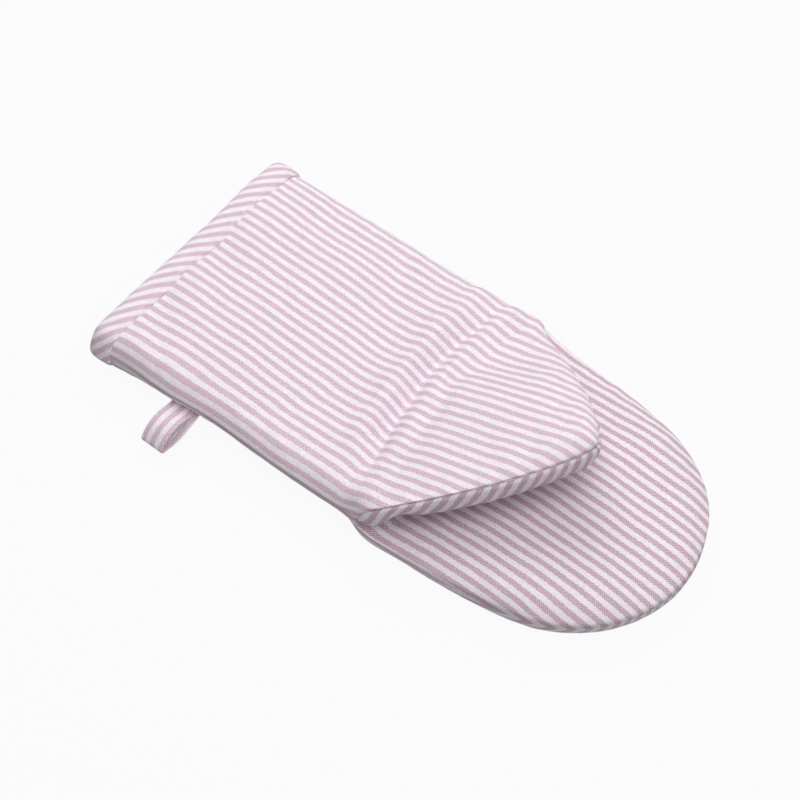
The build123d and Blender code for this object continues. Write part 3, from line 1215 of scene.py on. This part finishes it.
def striped_cloth(name, weave, whites, pinks, turn=0.0, shift=0.0):
    """Woven cotton with pink stripes along the cloth's length, or turned for a bias cut.

    The pink yarns run lengthwise over pale cross yarns, so that each stripe is speckled, and the colours
    wander between a warm and a cool shade.
    """
    material, yarns = cloth_material(name, weave, turn, shift)
    tree = material.node_tree
    split = tree.nodes.new("ShaderNodeSeparateXYZ")
    tree.links.new(cloth_map(tree, "stripes", turn, shift), split.inputs[0])
    waver = ramp(tree, yarns.outputs["Waver"], *waver_range, -stripe_waver * MM, stripe_waver * MM)
    wavered = math_node(tree, "ADD", split.outputs[1], waver)
    wave = math_node(tree, "PINGPONG", wavered, stripe_repeat * MM / 2)
    level = math_node(tree, "DIVIDE", wave, stripe_repeat * MM / 2)
    fray = ramp(tree, yarns.outputs["Speckle"], 0.0, 1.0, -stripe_fray, stripe_fray)
    in_stripe = ramp(tree, math_node(tree, "ADD", level, fray), *stripe_edge)
    on_top = ramp(tree, yarns.outputs["Long yarn on top"], 0.0, 1.0, cross_yarn, 1.0)
    shade = ramp(tree, yarns.outputs["Fading"], *fading_range)
    white = mix_colours(tree, shade, *whites)
    pink = mix_colours(tree, shade, *pinks)
    striped = mix_colours(tree, math_node(tree, "MULTIPLY", in_stripe, on_top), white, pink)
    speckled = ramp(tree, yarns.outputs["Speckle"], 0.0, 1.0, yarn_shade, 1.0)
    worn = mix_colours(tree, 1.0, striped, speckled, "MULTIPLY")
    tree.links.new(worn, tree.nodes["Principled BSDF"].inputs["Base Color"])
    return material


def plain_cotton(name, weave, light, dark):
    """Plain woven cotton in one colour, a little uneven, with that unevenness darker between the yarns, which
    is painted shade.
    """
    material, yarns = cloth_material(name, weave)
    tree = material.node_tree
    # Painted shade: the dark colour weighs more where the yarns lie low
    shade_between_yarns = ramp(tree, yarns.outputs["Height"], 0.0, 1.0, to_low=1.0, to_high=0.4)
    share = math_node(tree, "MULTIPLY", yarns.outputs["Slub"], shade_between_yarns)
    colour = mix_colours(tree, share, light, dark)
    tree.links.new(colour, tree.nodes["Principled BSDF"].inputs["Base Color"])
    return material


def thread_material(name, light, dark):
    """Spun sewing thread with a fine twist."""
    material, tree, shader = new_material(name)
    shader.inputs["Roughness"].default_value = 0.7
    shader.inputs["Sheen Weight"].default_value = 0.2
    place = tree.nodes.new("ShaderNodeTexCoord")
    twist = tree.nodes.new("ShaderNodeTexWave")
    twist.inputs["Scale"].default_value = 900.0
    twist.inputs["Distortion"].default_value = 2.0
    tree.links.new(place.outputs["Object"], twist.inputs["Vector"])
    colour = mix_colours(tree, twist.outputs["Fac"], light, dark)
    tree.links.new(colour, shader.inputs["Base Color"])
    return material


def white_floor():
    """Floor that the camera sees as white, and that lights the mitt no more than a grey one would."""
    bpy.ops.object.select_all(action="DESELECT")
    bpy.ops.mesh.primitive_plane_add(size=floor_size * MM, location=(0, 0, -floor_drop * MM))
    floor = bpy.context.active_object
    floor.name = "floor"
    material, tree, shader = new_material("floor_white")
    shader.inputs["Base Color"].default_value = (0.4, 0.4, 0.4, 1)
    shader.inputs["Roughness"].default_value = 1.0
    glow = tree.nodes.new("ShaderNodeEmission")
    rays = tree.nodes.new("ShaderNodeLightPath")
    share = math_node(tree, "MULTIPLY", rays.outputs["Is Camera Ray"], floor_glow)
    mix = tree.nodes.new("ShaderNodeMixShader")
    output = tree.nodes["Material Output"]
    link_nodes(
        tree,
        (share, mix.inputs[0]),
        (shader.outputs[0], mix.inputs[1]),
        (glow.outputs[0], mix.inputs[2]),
        (mix.outputs[0], output.inputs["Surface"]),
    )
    floor.data.materials.append(material)


def add_lamp(name, place, size, power):
    """Square soft lamp that points at the mitt."""
    data = bpy.data.lights.new(name, "AREA")
    data.size = size
    data.energy = power
    lamp = bpy.data.objects.new(name, data)
    lamp.location = place
    lamp.rotation_euler = (-Vector(place)).to_track_quat("-Z", "Y").to_euler()
    bpy.context.scene.collection.objects.link(lamp)


def studio():
    """Pale floor, white surround and soft lamps."""
    white_floor()
    world = bpy.data.worlds.new("studio")
    bpy.context.scene.world = world
    world.use_nodes = True
    background = world.node_tree.nodes["Background"]
    background.inputs["Color"].default_value = (1, 1, 1, 1)
    background.inputs["Strength"].default_value = surround_strength
    for lamp in lamps:
        add_lamp(*lamp)


def camera():
    """Camera at the photo's place: 39 degrees round from the near side and 56 degrees up."""
    azimuth, elevation = math.radians(39.08), math.radians(55.60)
    target = Vector((-14.35, -5.68, 14.56))
    distance = 1154.8
    focal_pixels, picture_pixels, sensor = 2181.0, 800.0, 36.0
    level = math.cos(elevation)
    back = Vector((math.sin(azimuth) * level, -math.cos(azimuth) * level, math.sin(elevation)))
    data = bpy.data.cameras.new("photo_camera")
    data.sensor_width = sensor
    data.lens = sensor * focal_pixels / picture_pixels
    view = bpy.data.objects.new("photo_camera", data)
    view.location = (target + back * distance) * MM
    view.rotation_euler = back.to_track_quat("Z", "Y").to_euler()
    bpy.context.scene.collection.objects.link(view)
    bpy.context.scene.camera = view


bpy.context.scene.view_settings.view_transform = "Standard"
camera()
studio()
weave = plain_weave()
cloth_colours = cloth_whites, cloth_pinks
# The grip's pinks hold painted shade as well as their own deeper colour
grip_cloth = striped_cloth("grip_cloth", weave, grip_whites, grip_pinks_with_painted_shade, shift=grip_shift)
panels(striped_cloth("striped_cloth", weave, *cloth_colours, shift=top_shift), grip_cloth)
linings(plain_cotton("lining_cotton", weave, *lining_whites))
cuff_binding(striped_cloth("bias_cloth", weave, *cloth_colours, turn=bias_turn))
tape_loop(striped_cloth("tape_cloth", weave, *cloth_colours, shift=stripe_repeat / 2))
stitching(thread_material("sewing_thread", *thread_pinks))
